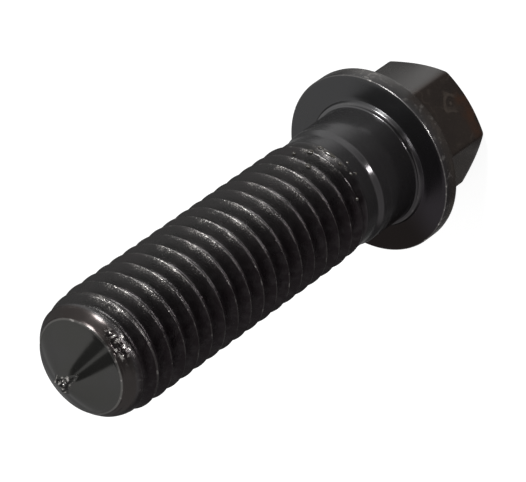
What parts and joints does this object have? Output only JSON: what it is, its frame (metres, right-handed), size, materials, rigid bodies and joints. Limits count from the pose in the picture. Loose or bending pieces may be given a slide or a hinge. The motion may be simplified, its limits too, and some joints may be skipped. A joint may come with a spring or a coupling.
{
  "type": "hex flange bolt",
  "caption": "Threaded steel bolt with a small hex head, a round flange, a short plain shank and a cone point.",
  "frame": {"origin": "centre of the outer face of the hex head, which the bolt stands on", "axes": "+Z along the bolt's axis from the head to the point; two opposite flats of the hex face +X and -X"},
  "size_m": [0.019, 0.019, 0.0571],
  "materials": {
    "bolt": "black oxide with a film of oil, worn bright on edges and crests"
  },
  "bodies": {
    "root": {"bolt": "bolt"}
  },
  "joints": []
}
